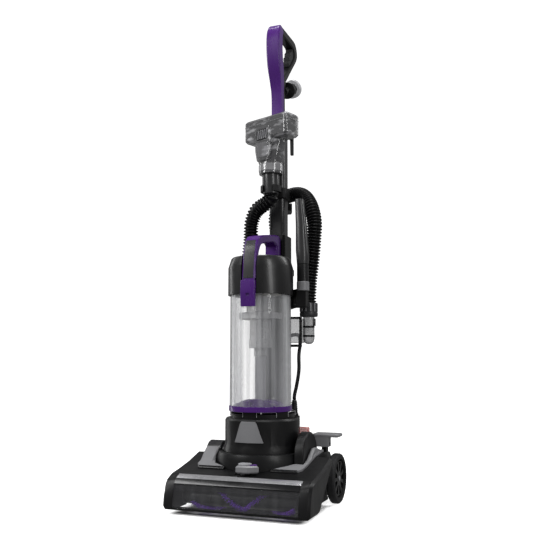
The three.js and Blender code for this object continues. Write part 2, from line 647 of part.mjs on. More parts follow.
const binDoor = () => turned([[0, 194.3], [66.5, 194.3], [66.5, DOOR_TOP], [60, DOOR_TOP], [52, 207],
  [40, 214], [30, 217], [20, 217], [14, 211], [0, 211]], 0, BIN_Y, 32);

function binCap() {
  const outer = turned([[0, CUP_TOP + GAP], [CAP_RADIUS, CUP_TOP + GAP], [CAP_RADIUS, 495], [64, 514],
    [61, CAP_TOP], [0, CAP_TOP]], 0, BIN_Y, 32);
  const room = turned([[0, 430], [66, 430], [66, 484], [50, 504], [0, 506]], 0, BIN_Y, 32);
  const recess = union(block(-LEG_HALF - 2.2, LEG_HALF + 2.2, 60, 93, 441.3, 520),
    block(-LEG_HALF - 2.2, LEG_HALF + 2.2, 60, 74.4, 430, 520));
  const handleSeat = block(-LEG_HALF - GAP, LEG_HALF + GAP, 201.7, 230, 507.1, 530);
  return cut(outer, room.subtract(block(-25, 25, 60, 96, 420, 520)), recess, handleSeat);
}

const binFilter = () => turned(tube(18, 43.5, 438, 478), 0, BIN_Y, 24);

const cycloneShroud = () => turned([[10, 308.3], [14, 308.3], [14, 325], [24.4, 325], [24.4, 343], [23.3, 345],
  [23.3, 384], [46, 386], [46, 399], [30, 401], [32, CUP_TOP - 2], [10, CUP_TOP - 2], [10, 308.3]],
0, BIN_Y, 24);

const innerTube = () => turned(tube(9.4, 11.8, 211.4, 308), 0, BIN_Y, 16);

function carryHandle() {
  const outside = smooth([[70, 464.5], [73, 500], [79, 532], [88, 552], [104, 561], [150, 570],
    [200, 577], [216, 578], [224, 570]], 20);
  const inside = smooth([[202, 552], [188, 558], [150, 552], [116, 545], [100, 533], [90, 512],
    [86, 490], [84, 464.5]], 14);
  return sideCut([...outside, [224, 507.5], [202, 507.5], ...inside], -LEG_HALF, LEG_HALF, 3);
}

function binRelease() {
  const outline = [[67, 409], [64.5, 440], [66, 463.7], [86, 463.7], [86, 446], [73.6, 446], [73.6, 409]];
  const arrow = plan([[-5, 58], [5, 58], [0, 90]], 430, 436).intersect(block(-8, 8, 60, 67.6, 428, 440));
  return cut(sideCut(outline, -LEG_HALF - 1, LEG_HALF + 1, 1.2), arrow);
}

// ---- hose and mains cord -----------------------------------------------------------------------
const HOSE_ROUTE = [[83, 216, 424.6], [83, 216, 440], [84, 219, 470], [89, 222, 517], [93, 224, 565], [94, 227, 606],
  [83, 236, 645], [57, 263, 677], [22, 290, 689], [-12, 299, 679], [-27, 301, 640], [-23, 301, 590],
  [-28, 301, 530], [-43, 295, 487], [-60, 270, 466], [-69, 243, 486], [-62, 222, 530], [-55, 214, 575],
  [-50, 208, 612], [-36, 203, 638], [-12, 200, 652], [0, 200, 661], [0, 200, 671.6]];
const CORD_ROUTE = [[50, 213, 213.5], [50, 213, 222], [55, 214, 245], [60, 215, 278], [59, 218, 310], [56, 236, 338],
  [44, 256, 356], [20, 262, 352], [2, 263, 320], [-4, 264, 250], [-8, 268, 130], [-6, 276, 45],
  [0, 283, 10], [-14, 283, CORD_RADIUS + 0.4], [-32, 283, CORD_RADIUS + 0.4]];

const stretchHose = () => swept(HOSE_ROUTE, HOSE_RADIUS, 10, 38);
const cordRun = () => swept(CORD_ROUTE, CORD_RADIUS, 8, 42);

const strainRelief = () => turned([[0, BASE_TOP + GAP], [9, BASE_TOP + GAP], [9, 184], [7, 186],
  [5.2, 213], [0, 213]], ...RELIEF, 20);

const cordCoil = () =>
  turned(tube(COIL_RADIUS - COIL_BAND, COIL_RADIUS + COIL_BAND, 0.3, 36), ...COIL, 32);

function mainsPlug() {
  const body = extruded('z', roundedRect(40, 76, 330, 354, 6), 0.3, 22, 2);
  const prongs = [-1, 1].map((side) => block(75, 93, 342 + side * 6 - 0.8, 342 + side * 6 + 0.8, 8, 14));
  return union(body, ...prongs);
}

// ---- assembly ----------------------------------------------------------------------------------
const foot = new THREE.Group();
foot.add(
  piece('foot_shell', footShell(), DARK_GREY),
  piece('base_plate', basePlate(), MATT_BLACK),
  piece('brush_window', brushWindow(), CLEAR),
  piece('window_trim', windowTrim(), LIGHT_GREY),
  piece('panel_left', topPanel(-1), GREY),
  piece('panel_right', topPanel(1), GREY),
  piece('pivot_yoke', pivotYoke(), BLACK),
  piece('pivot_cap_left', pivotCap(-1, LEFT_CAP, 121), BLACK),
  piece('pivot_cap_right', pivotCap(1, RIGHT_CAP, 106), BLACK),
  piece('wheel_axle_left', wheelAxle(-1), STEEL),
  piece('wheel_axle_right', wheelAxle(1), STEEL),
  piece('drive_belt', driveBelt(), RUBBER),
  piece('pedal_bracket', pedalBracket(), BLACK),
  piece('release_pedal', releasePedal(), GREY),
  piece('height_slider', heightSlider(), LIGHT_GREY),
  piece('brush_roll', brushRoll(), DARK_GREY),
  piece('bristle_row_a', bristleRow(0.4), PURPLE),
  piece('bristle_row_b', bristleRow(0.4 + Math.PI), PURPLE),
);
for (const [word, side] of [['left', -1], ['right', 1]]) {
  foot.add(
    piece(`wheel_disc_${word}`, wheelDisc(side), GREY),
    piece(`wheel_tyre_${word}`, tyre(side), RUBBER),
    piece(`front_roller_${word}`, frontRoller(side), MATT_BLACK),
  );
}

const body = new THREE.Group();
body.add(
  piece('motor_base', motorBase(), BLACK),
  piece('badge_plate', badgePlate(), GREY),
  piece('motor', motor(), STEEL),
  piece('motor_shaft', motorShaft(), STEEL),
  piece('motor_fan', motorFan(), LIGHT_GREY),
  piece('power_pedal', powerPedal(), finish('#c8463f', 0.4)),
  piece('rear_spine', rearSpine(), LIGHT_GREY),
  piece('pole_socket', poleSocket(), BLACK),
  piece('pole', pole(), GREY),
  piece('hose_bracket', hoseBracket(), BLACK),
  piece('handle_front', handleFront(), PURPLE),
  piece('handle_loop', handleLoop(), DARK_GREY),
  piece('grip_pad', gripPad(), RUBBER),
  piece('cord_hook_upper', upperCordHook(), MATT_BLACK),
  piece('cord_hook_lower', lowerCordHook(), MATT_BLACK),
  piece('inlet_duct', inletDuct(), LIGHT_GREY),
  piece('hose_elbow', hoseElbow(), GREY),
  piece('hose_cuff_lower', lowerCuff(), GREY),
  piece('hose_cuff_upper', upperCuff(), BLACK),
  piece('turbo_head', turboHead(), SMOKE),
  piece('turbo_brush', turboBrush(), DARK_GREY),
  piece('crevice_tool', creviceTool(), DARK_GREY),
  piece('crevice_holder', creviceHolder(), BLACK),
  piece('strain_relief', strainRelief(), RUBBER),
);

const bin = new THREE.Group();
bin.add(
  piece('bin_cup', binCup(), CLEAR),
  piece('bin_door', binDoor(), PURPLE),
  piece('bin_cap', binCap(), BLACK),
  piece('bin_filter', binFilter(), finish('#d9d4c4', 0.9)),
  piece('cyclone_shroud', cycloneShroud(), GREY),
  piece('inner_tube', innerTube(), GREY),
  piece('carry_handle', carryHandle(), PURPLE),
  piece('bin_release', binRelease(), PURPLE),
);

const cords = new THREE.Group();
cords.add(
  piece('stretch_hose', stretchHose(), RUBBER),
  piece('mains_cord_run', cordRun(), RUBBER),
  piece('mains_cord_coil', cordCoil(), RUBBER),
  piece('mains_plug', mainsPlug(), RUBBER),
);

const vacuum = new THREE.Group();
vacuum.position.y = -DEPTH / 2;
vacuum.add(foot, body, bin, cords);

export default vacuum;
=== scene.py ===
import math
import random

import bmesh
import bpy
from mathutils import Matrix, Vector


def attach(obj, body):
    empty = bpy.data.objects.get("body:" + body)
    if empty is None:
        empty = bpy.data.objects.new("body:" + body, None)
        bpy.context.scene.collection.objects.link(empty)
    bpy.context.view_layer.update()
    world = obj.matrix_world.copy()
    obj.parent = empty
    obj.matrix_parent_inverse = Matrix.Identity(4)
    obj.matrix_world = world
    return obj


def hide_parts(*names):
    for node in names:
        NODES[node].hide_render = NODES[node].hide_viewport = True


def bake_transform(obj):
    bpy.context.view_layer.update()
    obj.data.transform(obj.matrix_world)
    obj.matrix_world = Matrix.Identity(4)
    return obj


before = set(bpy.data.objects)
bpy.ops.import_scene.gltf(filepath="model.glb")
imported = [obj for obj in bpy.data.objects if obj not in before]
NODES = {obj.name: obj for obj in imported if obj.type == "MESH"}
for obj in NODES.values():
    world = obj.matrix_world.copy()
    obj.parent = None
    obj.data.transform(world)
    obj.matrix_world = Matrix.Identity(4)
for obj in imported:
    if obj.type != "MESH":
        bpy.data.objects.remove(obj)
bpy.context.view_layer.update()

FOOT_FRONT = -0.178      # Y of the foot's front edge; points below are given from it, in millimetres
HOSE_RADIUS = 0.0172
CORD_RADIUS = 0.004
BASE_Y = 152
BRUSH = (38, 31)
CREVICE = (83, 177)


def at(x, y, z):
    """A point in metres from millimetres, with y measured back from the foot's front edge."""
    return Vector((x / 1000, y / 1000 + FOOT_FRONT, z / 1000))


# ---- camera, floor and light -------------------------------------------------------------------
def camera():
    data = bpy.data.cameras.new("camera")
    data.sensor_width = 36
    data.lens = 46.8
    data.clip_start = 0.01
    data.clip_end = 60
    cam = bpy.data.objects.new("camera", data)
    cam.location = (0.5711, -1.4556, 0.2993)
    cam.rotation_euler = (math.radians(96.8), 0, math.radians(20.8))
    bpy.context.scene.collection.objects.link(cam)
    bpy.context.scene.camera = cam


def area_light(name, place, target, size, power, colour=(1, 1, 1)):
    data = bpy.data.lights.new(name, "AREA")
    data.shape = "RECTANGLE"
    data.size, data.size_y = size
    data.energy = power
    data.color = colour
    lamp = bpy.data.objects.new(name, data)
    lamp.location = place
    lamp.rotation_euler = (Vector(target) - Vector(place)).to_track_quat("-Z", "Y").to_euler()
    bpy.context.scene.collection.objects.link(lamp)


def studio():
    world = bpy.data.worlds.new("studio")
    world.use_nodes = True
    background = world.node_tree.nodes["Background"]
    background.inputs["Color"].default_value = (1, 1, 1, 1)
    background.inputs["Strength"].default_value = 0.22
    bpy.context.scene.world = world
    area_light("key", (-1.5, -1.7, 1.9), (0, 0, 0.55), (0.9, 1.3), 34)
    area_light("fill", (1.9, -1.3, 1.3), (0, 0, 0.4), (0.5, 1.6), 17)
    area_light("strip", (-1.2, 0.3, 0.8), (0, 0, 0.5), (0.25, 1.6), 3)
    area_light("rim", (1.2, 1.0, 1.6), (0, 0, 0.7), (0.3, 1.2), 7)
    area_light("top", (0.1, -0.2, 2.6), (0, 0, 0), (1.0, 1.0), 30)
    bpy.context.scene.view_settings.view_transform = "Standard"


camera()
studio()


# ---- materials ---------------------------------------------------------------------------------
class Shader:
    """A Principled material with short ways to add procedural detail."""

    def __init__(self, name):
        self.material = bpy.data.materials.new(name)
        self.material.use_nodes = True
        self.tree = self.material.node_tree
        self.bsdf = self.tree.nodes["Principled BSDF"]
        self.coordinates = self.tree.nodes.new("ShaderNodeTexCoord").outputs["Object"]

    def set(self, **values):
        for key, value in values.items():
            self.bsdf.inputs[key.replace("_", " ").title().replace("Ior", "IOR")].default_value = value

    def node(self, kind, **inputs):
        made = self.tree.nodes.new(kind)
        for key, value in inputs.items():
            socket = made.inputs[key.replace("_", " ")]
            if hasattr(value, "is_linked"):
                self.tree.links.new(value, socket)
            else:
                socket.default_value = value
        return made

    def stretched(self, scale):
        mapping = self.node("ShaderNodeMapping", Vector=self.coordinates)
        mapping.inputs["Scale"].default_value = scale
        return mapping.outputs["Vector"]

    def noise(self, size, detail=2.0, scale=(1, 1, 1)):
        """A noise value whose features are about size metres across."""
        return self.node("ShaderNodeTexNoise", Vector=self.stretched(scale), Scale=1 / size,
                         Detail=detail).outputs["Fac"]

    def ramp(self, value, low, high, start=0.3, end=0.7):
        made = self.node("ShaderNodeMapRange", Value=value)
        made.inputs["From Min"].default_value = start
        made.inputs["From Max"].default_value = end
        made.inputs["To Min"].default_value = low
        made.inputs["To Max"].default_value = high
        return made.outputs["Result"]

    def blend(self, factor, first, second):
        made = self.tree.nodes.new("ShaderNodeMix")
        made.data_type = "RGBA"
        for socket, value in ((made.inputs[0], factor), (made.inputs[6], first), (made.inputs[7], second)):
            if hasattr(value, "is_linked"):
                self.tree.links.new(value, socket)
            else:
                socket.default_value = value
        return made.outputs[2]

    def link(self, output, name):
        self.tree.links.new(output, self.bsdf.inputs[name])

    def bump(self, height, strength, depth=0.0002):
        made = self.node("ShaderNodeBump", Height=height, Strength=strength, Distance=depth)
        self.link(made.outputs["Normal"], "Normal")


PAINTED_SHADOW = (("X", 0.0, 0.128), ("Y", -0.085, 0.09))     # axis, middle and half size of the painted shadow patch, metres
PAINTED_SHADOW_FADE = 0.016


def glow_with_painted_shadow(paper, glow):
    """The floor's glow, which fades out to a painted shadow under the cleaning head so as not to show through
    the window.
    """
    place = paper.node("ShaderNodeSeparateXYZ", Vector=paper.coordinates)
    outside = []
    for axis, middle, half in PAINTED_SHADOW:
        away = paper.node("ShaderNodeMath", Value=place.outputs[axis])
        away.operation = "SUBTRACT"
        away.inputs[1].default_value = middle
        size = paper.node("ShaderNodeMath", Value=away.outputs[0])
        size.operation = "ABSOLUTE"
        outside.append(paper.ramp(size.outputs[0], 0, 1, half, half + PAINTED_SHADOW_FADE))
    either = paper.node("ShaderNodeMath", Value=outside[0])
    either.operation = "MAXIMUM"
    paper.tree.links.new(outside[1], either.inputs[1])
    return paper.ramp(either.outputs[0], 0, glow, 0, 1)


def tone(colour, factor):
    return (*[min(1.0, c * factor) for c in colour], 1.0)


def plastic(name, colour, rough, grain=0.12, grain_size=0.0009, coat=0.0, spec=0.5, spread=0.12, edge_highlight=1.25,
            metal=0.0):
    """Moulded plastic: slight colour drift, handling marks in the gloss, fine grain and a painted highlight
    on sharp convex edges.
    """
    made = Shader(name)
    drift = made.noise(0.05, 3)
    body = made.blend(drift, tone(colour, 1 - spread), tone(colour, 1 + spread))
    # painted edge highlight: sharp convex edges lightened by the edge_highlight factor
    edge = made.ramp(made.node("ShaderNodeNewGeometry").outputs["Pointiness"], 0, 0.7, 0.52, 0.62)
    made.link(made.blend(edge, body, tone(colour, edge_highlight)), "Base Color")
    smudge = made.noise(0.03, 5, (1, 1, 0.4))
    made.link(made.ramp(smudge, rough * 0.8, min(1.0, rough * 1.25)), "Roughness")
    made.bump(made.noise(grain_size, 1), grain)
    made.set(specular_ior_level=spec, coat_weight=coat, coat_roughness=0.08, metallic=metal)
    return made.material


def see_through(name, colour, face, rim, rough=0.06, painted_streaks=0.0, rim_tone=0.45, glints=1.05):
    """Clear moulded plastic that thickens and darkens towards its edges, with painted reflection streaks and
    painted glint patches.
    """
    made = Shader(name)
    facing = made.node("ShaderNodeLayerWeight", Blend=0.35).outputs["Facing"]
    # painted reflection streaks: upright noise lines that add to the alpha
    lines = made.noise(0.012, 2, (1, 1, 0.03))
    thick = made.ramp(facing, face, rim, 0.1, 0.95)
    veil = made.node("ShaderNodeMath", Value=thick)
    veil.operation = "ADD"
    made.tree.links.new(made.ramp(lines, 0, painted_streaks, 0.45, 0.75), veil.inputs[1])
    made.link(veil.outputs[0], "Alpha")
    # painted glints: noise patches brightened by the glints factor
    glint_patch = made.ramp(made.noise(0.016, 3, (0.5, 0.5, 1.2)), 0, 1, 0.52, 0.72)
    glinting = made.blend(glint_patch, tone(colour, 0.94), tone(colour, glints))
    edge = made.ramp(facing, 0, 1, 0.3, 1.0)
    made.link(made.blend(edge, glinting, tone(colour, rim_tone)), "Base Color")
    made.link(made.ramp(made.noise(0.04, 4), rough * 0.6, rough * 1.6), "Roughness")
    made.bump(made.noise(0.02, 1, (1, 1, 0.1)), 0.05, 0.0004)
    made.set(specular_ior_level=0.8, coat_weight=0.6, coat_roughness=0.03)
    return made.material


def steel():
    made = Shader("turned steel")
    lines = made.noise(0.0004, 2, (30, 1, 1))
    made.link(made.blend(lines, (0.45, 0.45, 0.47, 1), (0.62, 0.62, 0.64, 1)), "Base Color")
    made.link(made.ramp(lines, 0.25, 0.42), "Roughness")
    made.bump(lines, 0.1, 0.0001)
    made.set(metallic=1.0)
    return made.material


def rubber(name, colour, rough=0.75, spec=0.35):
    made = Shader(name)
    dust = made.noise(0.006, 6)
    made.link(made.blend(made.ramp(dust, 0, 1, 0.45, 0.8), tone(colour, 1), tone(colour, 1.8)), "Base Color")
    made.link(made.ramp(made.noise(0.02, 4), rough - 0.1, rough + 0.1), "Roughness")
    made.bump(made.noise(0.0006, 3), 0.25)
    made.set(specular_ior_level=spec)
    return made.material


def pleats():
    """Filter paper: off-white with upright folds and fibres."""
    made = Shader("filter paper")
    fibre = made.noise(0.001, 5)
    made.link(made.blend(fibre, (0.62, 0.6, 0.52, 1), (0.82, 0.8, 0.74, 1)), "Base Color")
    made.link(made.ramp(fibre, 0.85, 0.98), "Roughness")
    made.bump(made.noise(0.003, 1, (1, 1, 0.02)), 0.8, 0.001)
    return made.material


CAP_BLACK = plastic("cap black", (0.007, 0.007, 0.0075), 0.3, 0.06, coat=0.08, spec=0.45, edge_highlight=2.5)
GLOSS_BLACK = plastic("gloss black", (0.004, 0.004, 0.0045), 0.17, 0.04, coat=0.12, spec=0.36, edge_highlight=2.5)
SATIN_BLACK = plastic("satin black", (0.006, 0.006, 0.0065), 0.36, 0.25, spec=0.32, edge_highlight=2.5)
MATT_BLACK = plastic("matt black", (0.007, 0.007, 0.0075), 0.55, 0.35, spec=0.3, edge_highlight=2.0)
CHARCOAL = plastic("charcoal satin", (0.006, 0.006, 0.0065), 0.34, 0.3, 0.0007, spec=0.3, edge_highlight=2.5)
DARK_GREY = plastic("dark grey", (0.026, 0.026, 0.028), 0.34, 0.22, spec=0.4, edge_highlight=1.8)
POLE_GREY = plastic("pole lacquer", (0.022, 0.022, 0.023), 0.3, 0.06, coat=0.1, spec=0.5, edge_highlight=2.0)
INLAY_GREY = plastic("inlay grey", (0.022, 0.022, 0.023), 0.28, 0.12, spec=0.5, edge_highlight=1.8)
MID_GREY = plastic("satin grey", (0.24, 0.24, 0.25), 0.34, 0.2, 0.0008, spec=0.45)
PALE_GREY = plastic("pale grey", (0.33, 0.33, 0.35), 0.3, 0.12)
SILVER = plastic("silver lacquer", (0.62, 0.62, 0.64), 0.24, 0.06, coat=0.4)
TRIM = plastic("smoked chrome", (0.6, 0.6, 0.62), 0.2, 0.03, coat=0.6, spec=0.8, metal=0.8)
PURPLE = plastic("purple", (0.068, 0.0095, 0.175), 0.26, 0.05, coat=0.25, spec=0.4, edge_highlight=1.5)
BRISTLE = plastic("purple nylon", (0.3, 0.09, 0.75), 0.5, 0.1, 0.0004, spread=0.35)
# The number after the roughness sets painted reflection streaks; glints sets painted glints, strongest on the
# smoked plastic.
RED_TAB = see_through("red tab", (0.85, 0.2, 0.17), 0.7, 0.92, 0.15, rim_tone=0.8)
CLEAR = see_through("clear cup", (0.84, 0.85, 0.87), 0.08, 0.9, 0.05, 0.26, rim_tone=0.3)
WINDOW = see_through("clear window", (0.16, 0.16, 0.17), 0.14, 0.6, 0.05, 0.1)
# painted highlight along the clear skirt's toothed edge
HEM_HIGHLIGHT = see_through("painted hem highlight", (0.85, 0.85, 0.87), 0.7, 0.9, 0.1)
SMOKE = see_through("smoked plastic", (0.15, 0.15, 0.155), 0.6, 0.92, 0.08, 0.2, glints=5.5)
SMOKE_PALE = see_through("pale smoked plastic", (0.24, 0.24, 0.25), 0.6, 0.92, 0.1, 0.12, glints=2.2)
CLOUDED = see_through("clouded collar", (0.34, 0.34, 0.35), 0.8, 0.95, 0.1, 0.1, rim_tone=1.6)
HAZE = see_through("frosted grey", (0.5, 0.5, 0.52), 0.45, 0.85, 0.22, 0.1)
TYRE = rubber("tyre rubber", (0.014, 0.014, 0.015), 0.7)
SOFT_BLACK = rubber("cord sheath", (0.009, 0.009, 0.01), 0.45)
HOSE = rubber("hose skin", (0.003, 0.003, 0.0035), 0.36, 0.2)
STEEL = steel()
FILTER = pleats()

SKINS = {
    "foot_shell": CHARCOAL, "base_plate": MATT_BLACK, "brush_window": WINDOW, "window_trim": TRIM,
    "panel_left": MID_GREY, "panel_right": MID_GREY, "pivot_yoke": SATIN_BLACK, "pivot_cap_left": DARK_GREY,
    "pivot_cap_right": SATIN_BLACK, "wheel_axle_left": STEEL, "wheel_axle_right": STEEL, "drive_belt": TYRE,
    "pedal_bracket": MATT_BLACK, "release_pedal": MID_GREY, "height_slider": MID_GREY,
    "brush_roll": DARK_GREY, "wheel_disc_left": CHARCOAL, "wheel_disc_right": CHARCOAL,
    "wheel_tyre_left": TYRE, "wheel_tyre_right": TYRE, "front_roller_left": MATT_BLACK,
    "front_roller_right": MATT_BLACK, "motor_base": SATIN_BLACK, "badge_plate": MID_GREY, "motor": DARK_GREY,
    "motor_shaft": STEEL, "motor_fan": DARK_GREY, "power_pedal": RED_TAB, "rear_spine": DARK_GREY,
    "pole_socket": SATIN_BLACK, "pole": POLE_GREY, "hose_bracket": MATT_BLACK, "handle_front": PURPLE,
    "handle_loop": GLOSS_BLACK, "grip_pad": TYRE, "cord_hook_upper": SATIN_BLACK,
    "cord_hook_lower": MATT_BLACK, "inlet_duct": HAZE, "hose_elbow": SMOKE_PALE, "hose_cuff_lower": DARK_GREY,
    "hose_cuff_upper": POLE_GREY, "turbo_head": SMOKE, "turbo_brush": DARK_GREY,
    "crevice_tool": POLE_GREY, "crevice_holder": SATIN_BLACK, "strain_relief": SOFT_BLACK,
    "bin_cup": CLEAR, "bin_door": PURPLE, "bin_cap": CAP_BLACK, "bin_filter": FILTER,
    "cyclone_shroud": HAZE, "inner_tube": PALE_GREY, "carry_handle": PURPLE, "bin_release": PURPLE,
    "mains_plug": SOFT_BLACK,
}
EDGE = {"handle_front": 0.002, "handle_loop": 0.0015, "turbo_head": 0.0012, "foot_shell": 0.0012,
        "panel_left": 0.0012, "panel_right": 0.0012, "release_pedal": 0.0012, "bin_cap": 0.0015,
        "carry_handle": 0.0015}


def soften(piece, edge, angle=30):
    """Rounded, evenly shaded edges on a piece."""
    for face in piece.data.polygons:
        face.use_smooth = True
    weld = piece.modifiers.new("weld", "WELD")
    weld.merge_threshold = 0.00002
    bevel = piece.modifiers.new("edge", "BEVEL")
    bevel.width = edge
    bevel.segments = 2
    bevel.limit_method = "ANGLE"
    bevel.angle_limit = math.radians(angle)
    bevel.use_clamp_overlap = True
    normals = piece.modifiers.new("normals", "WEIGHTED_NORMAL")
    normals.keep_sharp = True


for node, skin in SKINS.items():
    piece = NODES[node]
    piece.data.materials.clear()
    piece.data.materials.append(skin)
    soften(piece, EDGE.get(node, 0.0006))


# ---- mesh makers -------------------------------------------------------------------------------
def piece_from(name, corners, faces, skin, body, smooth=True):
    mesh = bpy.data.meshes.new(name)
    mesh.from_pydata([tuple(c) for c in corners], [], faces)
    mesh.update()
    mesh.validate()
    made = bpy.data.objects.new(name, mesh)
    bpy.context.scene.collection.objects.link(made)
    made.data.materials.append(skin)
    for face in mesh.polygons:
        face.use_smooth = smooth
    if body:
        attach(made, body)
    return made


def ring_faces(rings, sides, closed=True, capped=True):
    """Quads between rings of the same number of corners, with the two ends filled."""
    faces = []
    for i in range(rings - 1):
        for j in range(sides if closed else sides - 1):
            a, b = i * sides + j, i * sides + (j + 1) % sides
            faces.append((a, b, b + sides, a + sides))
    if capped:
        faces.append(tuple(range(sides - 1, -1, -1)))
        faces.append(tuple((rings - 1) * sides + j for j in range(sides)))
    return faces


def turned(name, profile, centre, skin, body, axis="z", segments=64, edge=0.0):
    """A piece turned on a lathe; profile is a closed loop of (radius, height) in millimetres."""
    corners = []
    for i in range(segments):
        angle = 2 * math.pi * i / segments
        for radius, height in profile:
            u, v = radius * math.cos(angle), radius * math.sin(angle)
            x, y, z = centre
            corners.append(at(x + u, y + v, z + height) if axis == "z" else at(x + height, y + u, z + v))
    count = len(profile)
    faces = []
    for i in range(segments):
        for j in range(count):
            a, b = i * count + j, i * count + (j + 1) % count
            c, d = (i + 1) % segments * count + (j + 1) % count, (i + 1) % segments * count + j
            faces.append((a, b, c, d) if axis == "z" else (d, c, b, a))
    made = piece_from(name, corners, faces, skin, body)
    soften(made, edge or 0.0003)
    return made


def prism(name, outline, low, high, plane, skin, body, edge=0.0006):
    """A plate with the given outline, from low to high along the axis that the plane leaves out."""
    place = {"yz": lambda a, b, c: at(c, a, b), "xy": lambda a, b, c: at(a, b, c),
             "xz": lambda a, b, c: at(a, c, b)}[plane]
    corners = [place(a, b, low) for a, b in outline] + [place(a, b, high) for a, b in outline]
    made = piece_from(name, corners, ring_faces(2, len(outline)), skin, body)
    bm_fix(made)
    soften(made, edge)
    return made


def bm_fix(made):
    """Points every face outwards."""
    mesh = bmesh.new()
    mesh.from_mesh(made.data)
    bmesh.ops.recalc_face_normals(mesh, faces=mesh.faces)
    mesh.to_mesh(made.data)
    mesh.free()


def frames_along(points):
    """Two directions across a path at each point, turning as little as possible."""
    side = (points[1] - points[0]).orthogonal().normalized()
    made = []
    for i, point in enumerate(points):
        ahead = (points[min(i + 1, len(points) - 1)] - points[max(i - 1, 0)]).normalized()
        side = (side - side.dot(ahead) * ahead).normalized()
        made.append((point, side, ahead.cross(side)))
    return made


def swept(name, points, radii, sides, skin, body):
    """A round tube along the points, whose radius may change from point to point."""
    corners = []
    for (point, u, v), radius in zip(frames_along(points), radii):
        corners += [point + radius * (math.cos(t) * u + math.sin(t) * v)
                    for t in (2 * math.pi * j / sides for j in range(sides))]
    made = piece_from(name, corners, ring_faces(len(points), sides), skin, body)
    bm_fix(made)
    return made


def centripetal(route, step):
    """Evenly spaced points on a centripetal Catmull-Rom curve through the route."""
    p = [2 * route[0] - route[1], *route, 2 * route[-1] - route[-2]]
    fine = []
    for a, b, c, d in zip(p, p[1:], p[2:], p[3:]):
        t1, t2, t3 = ((b - a).length ** 0.5, (c - b).length ** 0.5, (d - c).length ** 0.5)
        m1 = ((b - a) / t1 - (c - a) / (t1 + t2) + (c - b) / t2) * t2
        m2 = ((c - b) / t2 - (d - b) / (t2 + t3) + (d - c) / t3) * t2
        for i in range(40):
            t = i / 40
            cubic = (2 * b - 2 * c + m1 + m2) * t ** 3
            square = (3 * c - 3 * b - 2 * m1 - m2) * t ** 2
            fine.append(cubic + square + m1 * t + b)
    fine.append(route[-1])
    return evenly(fine, step)


def evenly(points, step):
    """The same path with points a step apart."""
    lengths = [0.0]
    for a, b in zip(points, points[1:]):
        lengths.append(lengths[-1] + (b - a).length)
    count = max(2, round(lengths[-1] / step))
    made, i = [], 0
    for k in range(count + 1):
        want = lengths[-1] * k / count
        while i < len(points) - 2 and lengths[i + 1] < want:
            i += 1
        part = (want - lengths[i]) / max(lengths[i + 1] - lengths[i], 1e-9)
        made.append(points[i].lerp(points[i + 1], part))
    return made


# ---- hose and mains cord -----------------------------------------------------------------------
HOSE_ROUTE = [(83, 216, 424.6), (83, 216, 440), (84, 219, 470), (89, 222, 517), (93, 224, 565),
              (94, 227, 606), (83, 236, 645), (57, 263, 677), (22, 290, 689), (-12, 299, 679),
              (-27, 301, 640), (-23, 301, 590), (-28, 301, 530), (-43, 295, 487), (-60, 270, 466),
              (-69, 243, 486), (-62, 222, 530), (-55, 214, 575), (-50, 208, 612), (-36, 203, 638),
              (-12, 200, 652), (0, 200, 661), (0, 200, 671.6)]
CORD_ROUTE = [(50, 213, 213.5), (50, 213, 222), (55, 214, 245), (60, 215, 278), (59, 218, 310),
              (56, 236, 338), (44, 256, 356), (20, 262, 352), (2, 263, 320), (-4, 264, 250),
              (-8, 268, 130), (-6, 276, 45),
              (0, 283, 10), (-14, 283, 4.4), (-32, 283, 4.4)]
COIL_CENTRE = (-40, 352)


def hose():
    """Ribbed stretch hose: each fold is a rounded ridge with a narrow groove beside it."""
    pitch, per_fold = 0.0068, 6
    ridge = (0.75, 0.9, 1.0, 1.0, 0.9, 0.75)
    points = centripetal([at(*p) for p in HOSE_ROUTE], pitch / per_fold)
    radii = [HOSE_RADIUS * ridge[i % per_fold] for i in range(len(points))]
    made = swept("ribbed_hose", points, radii, 24, HOSE, "upright")
    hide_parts("stretch_hose")


def coil_turns():
    """The wound part of the mains cord: four layers of four turns, worked out and back."""
    cx, cy = COIL_CENTRE
    layers, per_layer, steps = 4, 4, 28
    points = []
    start = math.radians(-90)
    for layer in range(layers):
        for i in range(per_layer * steps):
            turn = i / steps
            across = -12 + 24 * turn / per_layer
            across = across if layer % 2 == 1 else -across
            rise = max(0.0, 1 - turn / 0.35) if layer else 0.0
            angle = start - 2 * math.pi * turn
            radius = 48 + across
            points.append(at(cx + radius * math.cos(angle), cy + radius * math.sin(angle),
                             4.6 + 8.1 * (layer - rise)))
    return points


def mains_cord():
    run = centripetal([at(*p) for p in CORD_ROUTE], 0.006)
    turns = coil_turns()
    cx, cy = COIL_CENTRE
    tail = centripetal([turns[-1], at(cx - 20, cy - 57, 27), at(cx + 16, cy - 62, 19), at(16, 318, 12),
                        at(26, 337, 11), at(40, 342, 11)], 0.006)
    points = evenly(run[:-1] + turns + tail[1:], 0.006)
    made = swept("mains_cord", points, [CORD_RADIUS] * len(points), 10, SOFT_BLACK, None)
    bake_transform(made)
    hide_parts("mains_cord_run", "mains_cord_coil")


hose()
mains_cord()


